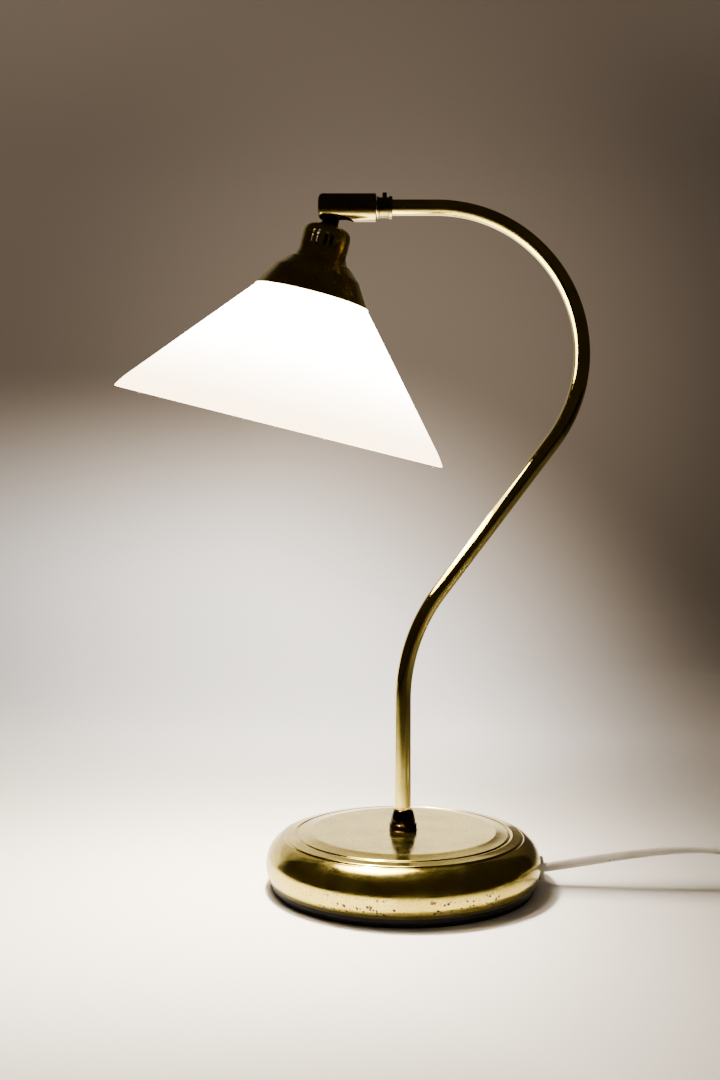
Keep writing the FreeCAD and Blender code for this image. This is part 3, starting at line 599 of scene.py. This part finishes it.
for name, piece in nodes.items():
    piece.data.materials.clear()
    piece.data.materials.append(finishes[slotOf[name]])
blackOxide = metalFinish("blackOxideSteel", "#2A2825", "#1B1917", rough=0.4, grainSize=0.6)
nodes["collar_set_screw"].data.materials[0] = blackOxide
print("materials ready")

lead.data.materials.append(finishes["white_pvc"])
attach(lead, "base")
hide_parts("supply_cord", "coil_lead", "plug_lead", "cord_coil")


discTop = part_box("base_shell")[1][2] / mm
base = dict(hole=5.1, bulgeR=85.7, bulgeZ=18.3, lipR=82.8, lipZ=6.2, wall=1.0, segments=192,
            bushingX=84, bushingZ=11.4, bushingR=5.0)


def baseShell():
    top, wall, bulgeR, bulgeZ, lipZ = discTop, base["wall"], base["bulgeR"], base["bulgeZ"], base["lipZ"]
    shell = turned("baseShell", profile(
        (base["hole"], top), (30, top), (56.0, top), (57.6, top - 0.05, 59.0, top - 0.3), (65.4, top - 1.2),
        (65.9, top - 1.3, 66.3, top - 1.9), (67.0, top - 2.2, 67.7, top - 1.9),
        (68.0, top - 1.5, 68.5, top - 1.5),
        (73.2, top - 2.25), (73.8, top - 2.4, 74.2, top - 3.0), (74.8, top - 3.5, 75.5, top - 3.3),
        (76.4, top - 3.6), (bulgeR, bulgeZ, base["lipR"], lipZ),
        (82.7, lipZ - 0.5, 82.2, lipZ - 0.7), (81.6, lipZ - 0.6, 81.3, lipZ - 0.3),
        (81.9, lipZ + 0.5), (bulgeR - wall, bulgeZ, 74.9, top - 4.5), (65.5, top - 3.2),
        (58.4, top - 1.25), (56.0, top - wall), (base["hole"], top - wall)), base["segments"])
    deselectAll()
    bpy.ops.mesh.primitive_cylinder_add(
        vertices=48, radius=base["bushingR"] * mm, depth=20 * mm, rotation=(0, math.pi / 2, 0),
        location=(base["bushingX"] * mm, 0, base["bushingZ"] * mm))
    cutWith(shell, bpy.context.object)
    smooth(shell)
    return shell


ferrule = dict(hole=5.05, rimR=8.7, high=13.0, segments=96)


def stemFerrule():
    top, high, hole, rimR = discTop, discTop + ferrule["high"], ferrule["hole"], ferrule["rimR"]
    return turned("stemFerrule", profile(
        (hole, top), (rimR, top), (9.0, top + 0.15, 8.8, top + 0.5), (8.55, top + 0.7), (rimR, top + 1.0),
        (rimR, top + 3.9), (8.6, top + 4.3, 8.3, top + 4.5), (7.7, top + 4.6), (7.7, top + 5.0),
        (7.8, top + 5.3), (7.2, top + 9.0, 6.1, high - 0.5), (6.0, high - 0.1, 5.7, high),
        (hole, high)), ferrule["segments"])


stem = dict(radius=5.0, bore=4.0, foot=22.0, lowZ=117.0, lowR=113.0, hookR=90.8, hookX=20.6, end=-9.8,
            around=48, lowSteps=30, hookSteps=90, crease=40)


def stemTube():
    # a ring is pulled up, spun round each bend and pulled along each straight
    armZ = joints["arm_swivel"]["pos_m"][2] / mm
    hookZ = armZ - stem["hookR"]
    across, up = stem["hookX"] - stem["lowR"], hookZ - stem["lowZ"]
    lean = math.asin((stem["lowR"] + stem["hookR"]) / math.hypot(across, up)) + math.atan2(across, up)
    straight = math.sqrt(across ** 2 + up ** 2 - (stem["lowR"] + stem["hookR"]) ** 2)
    deselectAll()
    bpy.ops.mesh.primitive_circle_add(vertices=stem["around"], radius=stem["radius"] * mm,
                                      location=(0, 0, stem["foot"] * mm))
    piece = bpy.context.object
    piece.name = piece.data.name = "stemTube"
    bpy.ops.object.transform_apply(location=True, rotation=True, scale=True)
    editMode()
    selectMesh()
    extrude((0, 0, (stem["lowZ"] - stem["foot"]) * mm))
    bpy.ops.mesh.spin(steps=stem["lowSteps"], angle=-lean, axis=(0, 1, 0),
                      center=(stem["lowR"] * mm, 0, stem["lowZ"] * mm))
    extrude(Vector((math.sin(lean), 0, math.cos(lean))) * straight * mm)
    bpy.ops.mesh.spin(steps=stem["hookSteps"], angle=lean + math.pi / 2, axis=(0, 1, 0),
                      center=(stem["hookX"] * mm, 0, hookZ * mm))
    extrude(((stem["end"] - stem["hookX"]) * mm, 0, 0))
    weld()
    faceOutward()
    applyModifier(piece, "SOLIDIFY", thickness=(stem["radius"] - stem["bore"]) * mm, offset=-1)
    smooth(piece, stem["crease"])
    return piece


standsFor(baseShell(), "base", "brass", brass, "base_shell")
standsFor(stemFerrule(), "base", "dark_brass", shadedBrassFoot, "stem_ferrule")
standsFor(stemTube(), "base", "brass", tube, "stem_tube")
print("base and stem made")


pivot = Vector(joints["shade_tilt"]["pos_m"])
rollAxis = joints["shade_tilt"]["axis"]
head = dict(tilt=14.1, cupHole=5.3, cupTop=12.2, lip=56.9, cupSegments=144, cupCrease=30,
            glassTop=42.2, hole=14.6, wall=2.6, slope=0.857, lipR=35.45, rim=140.0, rimR=105.3,
            segments=160)
vents = dict(groups=(-97, 23, 143), offsets=(-23.5, -9.5, 9.5, 23.5),   # degrees round the cup's neck
             out=15, height=-21.8, size=(8, 2.1, 9.2), round=1.0, roundSteps=4)
headPlace = (Matrix.Translation(pivot) @ Matrix.Rotation(math.atan2(rollAxis[2], rollAxis[1]), 4, "X")
             @ Matrix.Rotation(math.radians(head["tilt"]), 4, "Y"))
headDown = headPlace.to_3x3() @ Vector((0, 0, -1))


def ventCutter(angle):
    deselectAll()
    bpy.ops.mesh.primitive_cube_add(size=1, location=(vents["out"] * mm, 0, vents["height"] * mm))
    cutter = bpy.context.object
    cutter.scale = [length * mm for length in vents["size"]]
    place(cutter, Matrix.Identity(4))
    applyModifier(cutter, "BEVEL", width=vents["round"] * mm, segments=vents["roundSteps"],
                  limit_method="ANGLE")
    place(cutter, Matrix.Rotation(math.radians(angle), 4, "Z"))
    return cutter


def shadeCup():
    lip, top, hole = head["lip"], head["cupTop"], head["cupHole"]
    cup = turned("shadeCup", profile(
        (hole, -top), (9.0, -top), (13.5, -14.0, 15.1, -18.2), (15.1, -26.0), (15.9, -31.2, 18.0, -34.6),
        (18.5, -34.9, 18.9, -34.8), (19.6, -35.2, 19.9, -35.9), (20.5, -36.2, 21.0, -36.1), (25.6, -40.6),
        (27.3, -42.3, 28.6, -44.4), (36.4, -lip + 0.5), (36.5, -lip + 0.1, 36.1, -lip), (35.65, -lip),
        (27.8, -44.6), (26.5, -42.6, 24.9, -41.2), (20.0, -36.9), (17.4, -35.0), (15.1, -31.2, 14.3, -26.0),
        (14.3, -18.4), (12.9, -14.9, 8.8, -13.0), (hole, -13.0)), head["cupSegments"])
    for group in vents["groups"]:
        for offset in vents["offsets"]:
            cutWith(cup, ventCutter(group + offset))
    smooth(cup, head["cupCrease"])
    place(cup, headPlace)
    return cup


def skinR(depth):
    # the outer radius of the glass cone at a depth below the pivot
    return head["lipR"] + head["slope"] * (depth - head["lip"] + 0.2)


def glassShade():
    top, wall, rim, rimR = head["glassTop"], head["wall"], head["rim"], head["rimR"]
    inset = wall * math.hypot(1, head["slope"])
    turnAt = rim - 10
    points = profile(
        (head["hole"], -top), (21.2, -top), (23.1, -top - 0.5, skinR(44.6), -44.6), (skinR(70), -70),
        (skinR(90), -90), (skinR(110), -110), (skinR(turnAt), -turnAt),
        (skinR(135.2) - 0.35, -135.2, rimR - 0.2, -rim + 0.5),
        (rimR - 0.6, -rim, rimR - 1.6, -rim), (rimR - 2.7, -rim + 0.1, rimR - 3.1, -rim + 0.6),
        (skinR(135.6) - inset - 0.15, -135.6, skinR(turnAt + 1.7) - inset, -turnAt - 1.7),
        (skinR(105) - inset, -105), (skinR(75) - inset, -75), (skinR(47.4) - inset, -47.4),
        (21.6, -top - wall - 0.6, 19.6, -top - wall), (head["hole"], -top - wall))
    glass = turned("glassShade", points, head["segments"])
    fromCup = glass.data.attributes.new("fromCup", "FLOAT", "POINT")
    for vertex in glass.data.vertices:
        share = (-vertex.co.z / mm - top) / (rim - top)
        fromCup.data[vertex.index].value = min(max(share, 0), 1)
    place(glass, headPlace)
    return glass


# each strand has its angle round the rim in degrees, its length and how far it sways
dust = dict(radius=0.07, sides=6, steps=6, inset=1.2, root=0.3, swayRate=1.1,
            strands=((-101, 3.2, 0.6), (-97, 2.2, -0.8), (-88, 1.8, 0.5), (-64, 2.4, 0.7), (-20, 1.6, -0.4),
                     (-128, 1.4, 0.5), (75, 2.0, 0.6), (160, 1.8, -0.5)))


def dustStrand(turn, reach, bend):
    deselectAll()
    bpy.ops.mesh.primitive_circle_add(
        vertices=dust["sides"], radius=dust["radius"] * mm, fill_type="NGON",
        location=((head["rimR"] - dust["inset"]) * mm, 0, (dust["root"] - head["rim"]) * mm))
    strand = bpy.context.object
    editMode()
    selectMesh()
    for k in range(dust["steps"]):
        sway = bend * math.sin(k * dust["swayRate"]) * mm
        extrude((sway * 0.5, sway, -reach / dust["steps"] * mm))
    objectMode()
    place(strand, Matrix.Rotation(math.radians(turn), 4, "Z"))
    return strand


def dustFibres():
    # a few short fluffs of dust that hang on the rim of the shade
    strands = [dustStrand(*strand) for strand in dust["strands"]]
    activate(strands[0])
    for strand in strands:
        strand.select_set(True)
    bpy.ops.object.join()
    fibres = strands[0]
    fibres.name = fibres.data.name = "dustFibres"
    place(fibres, headPlace)
    editMode()
    faceOutward()
    return fibres


dustFluff = moulded("dustFluff", "#E8E2D6", "#CFC8BA", rough=0.9, grainSize=0.3)
standsFor(dustFibres(), "head", "opal_glass", dustFluff)
standsFor(shadeCup(), "head", "dark_brass", shadedBrassUp, "shade_cup")
standsFor(glassShade(), "head", "opal_glass", finishes["opal_glass"], "glass_shade")
print("head made")


# the sweep is in metres, and its painted light is placed in shares of the distance from the camera
stage = dict(half=3.2, front=-2.6, back=3.4, bend=1.3, top=3.6, bendSteps=24,
             # the next three give where the paper's colour turns grey as painted shade, in metres along Y and X
             paintedShadeBehind=(0.25, 1.2), paintedShadeInFront=(-0.12, -0.55), paintedShadeRight=(-0.06, 0.3),
             paintFrom=(0.14, 0.55))
glowEdge = dict(level=0.03, bendFrom=-0.1, fall=2.0, spread=3.8, soft=(0.09, -0.1))
glowHeart = dict(across=-0.03, reach=0.34, bright=2.7, dim=0.7)
wallTone = dict(sides=(-0.3, 0.32), left=0.15, right=0.075, high=(0.27, 0.42), lift=0.06)
halo = dict(across=0.04, height=0.11, inner=0.04, outer=0.34, strength=0.19)


def paintedLight(tree, axes):
    # the lit part of the wall, as a share, and how strongly the whole wall glows
    eye = Vector(cameraSetup["place"]) * mm
    away = maths(tree, "SUBTRACT", axes["Y"], eye.y)
    across = maths(tree, "DIVIDE", maths(tree, "SUBTRACT", axes["X"], eye.x), away)
    height = maths(tree, "DIVIDE", maths(tree, "SUBTRACT", axes["Z"], eye.z), away)
    # the edge of the lamp's light is level on the left and curves down on the right
    past = maths(tree, "MAXIMUM", maths(tree, "SUBTRACT", across, glowEdge["bendFrom"]), 0.0)
    fall = multiply(tree, maths(tree, "POWER", past, 2.0), glowEdge["fall"])
    above = maths(tree, "ADD", maths(tree, "SUBTRACT", height, glowEdge["level"]), fall)
    spread = maths(tree, "ADD", multiply(tree, past, glowEdge["spread"]), 1.0)
    lit = ramp(tree, maths(tree, "DIVIDE", above, spread), *glowEdge["soft"])
    fromHeart = maths(tree, "ABSOLUTE", maths(tree, "SUBTRACT", across, glowHeart["across"]))
    bright = ramp(tree, fromHeart, 0.0, glowHeart["reach"], glowHeart["bright"], glowHeart["dim"])
    squares = [maths(tree, "POWER", maths(tree, "SUBTRACT", value, centre), 2.0)
               for value, centre in ((across, halo["across"]), (height, halo["height"]))]
    fromHalo = maths(tree, "SQRT", maths(tree, "ADD", *squares))
    dark = ramp(tree, across, *wallTone["sides"], wallTone["left"], wallTone["right"])
    dark = maths(tree, "ADD", dark, maths(
        tree, "ADD", ramp(tree, fromHalo, halo["inner"], halo["outer"], halo["strength"], 0.0),
        ramp(tree, height, *wallTone["high"], 0.0, wallTone["lift"])))
    return lit, maths(tree, "ADD", multiply(tree, lit, bright), dark)


def paperMaterial():
    # matt white paper sweep: lit by the lamp beside it, glowing softly further back like the lit wall, and greyed
    # as painted shade far behind, in front and to the right
    material, tree, shader = newMaterial("mattPaper", Roughness=0.92, IOR=1.4)
    spot = objectPlace(tree)
    axes = addNode(tree, "ShaderNodeSeparateXYZ", None, {"Vector": spot}).outputs
    fibre = noise(tree, spot, 2.5, 3)
    white = mixColour(tree, fibre, "#EFECE8", "#E8E4DE")
    # painted shade: the paper's colour greys towards the right, away from the lamp, far behind and in front
    paintedShade = maths(tree, "MAXIMUM", ramp(tree, axes["Y"], *stage["paintedShadeBehind"]),
                 ramp(tree, axes["Y"], *stage["paintedShadeInFront"]))
    paintedShade = maths(tree, "MAXIMUM", paintedShade, ramp(tree, axes["X"], *stage["paintedShadeRight"], 0.0, 0.88))
    tree.links.new(mixColour(tree, paintedShade, white, "#57504A"), shader.inputs["Base Color"])
    lit, level = paintedLight(tree, axes)
    level = multiply(tree, level, ramp(tree, axes["Y"], *stage["paintFrom"]))
    tree.links.new(mixColour(tree, lit, "#DDC2A4", "#F4EAE0"), shader.inputs["Emission Color"])
    tree.links.new(level, shader.inputs["Emission Strength"])
    bump(tree, shader, fibre, 0.05, 0.3)
    return material


def makeStage():
    paper = pointAt("paper", (-stage["half"], stage["front"], 0))
    extrude((0, stage["back"] - stage["bend"] - stage["front"], 0))
    bpy.ops.mesh.spin(steps=stage["bendSteps"], angle=-math.pi / 2, axis=(1, 0, 0),
                      center=(-stage["half"], stage["back"] - stage["bend"], stage["bend"]))
    extrude((0, 0, stage["top"] - stage["bend"]))
    selectMesh()
    extrude((2 * stage["half"], 0, 0))
    objectMode()
    bpy.ops.object.shade_smooth()
    paper.data.materials.append(paperMaterial())


def addLight(name, kind, spot, energy, colour, **settings):
    data = bpy.data.lights.new(name, kind)
    data.energy = energy
    data.color = hexColour(colour)[:3]
    aim = settings.pop("aim", None)
    for key, value in settings.items():
        setattr(data, key, value)
    light = bpy.data.objects.new(name, data)
    bpy.context.scene.collection.objects.link(light)
    light.location = spot
    if aim is not None:
        light.rotation_euler = (Vector(aim) - Vector(spot)).to_track_quat("-Z", "Y").to_euler()
    return light


lights = dict(worldColour="#6B5A45", world=0.15, bulb=25, bulbDepth=129.5, bulbR=12, softbox=1.5)
# what the near wall behind the lamp would show in the brass: each band has a foot, a top and a strength
wallGlow = dict(x=-0.26, y=0.42, width=0.8,
                bands=((0.0, 0.2, 2.3), (0.2, 0.32, 1.0), (0.32, 0.5, 0.4), (0.5, 0.85, 0.14)))

makeStage()
world = bpy.data.worlds.new("room")
bpy.context.scene.world = world
world.use_nodes = True
world.node_tree.nodes["Background"].inputs["Color"].default_value = hexColour(lights["worldColour"])
world.node_tree.nodes["Background"].inputs["Strength"].default_value = lights["world"]

bulbLight = addLight("bulbLight", "POINT", pivot + headDown * (lights["bulbDepth"] * mm), lights["bulb"],
                     "#FFF3E0", shadow_soft_size=lights["bulbR"] * mm)
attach(bulbLight, "head")
for foot, top, strength in wallGlow["bands"]:
    width, tall = wallGlow["width"], top - foot
    spot = (wallGlow["x"], wallGlow["y"], (foot + top) / 2)
    band = addLight("wallGlow", "AREA", spot, strength * math.pi * width * tall, "#FFF0DA",
                    shape="RECTANGLE", size=width, size_y=tall, aim=(spot[0], 0, spot[2]))
    band.visible_camera = band.visible_diffuse = False
softbox = addLight("softbox", "AREA", (0.25, -0.35, 1.4), lights["softbox"], "#FFF4E4", size=0.9,
                   aim=(0, 0.1, 0))
softbox.visible_glossy = False
print("stage and lights ready")
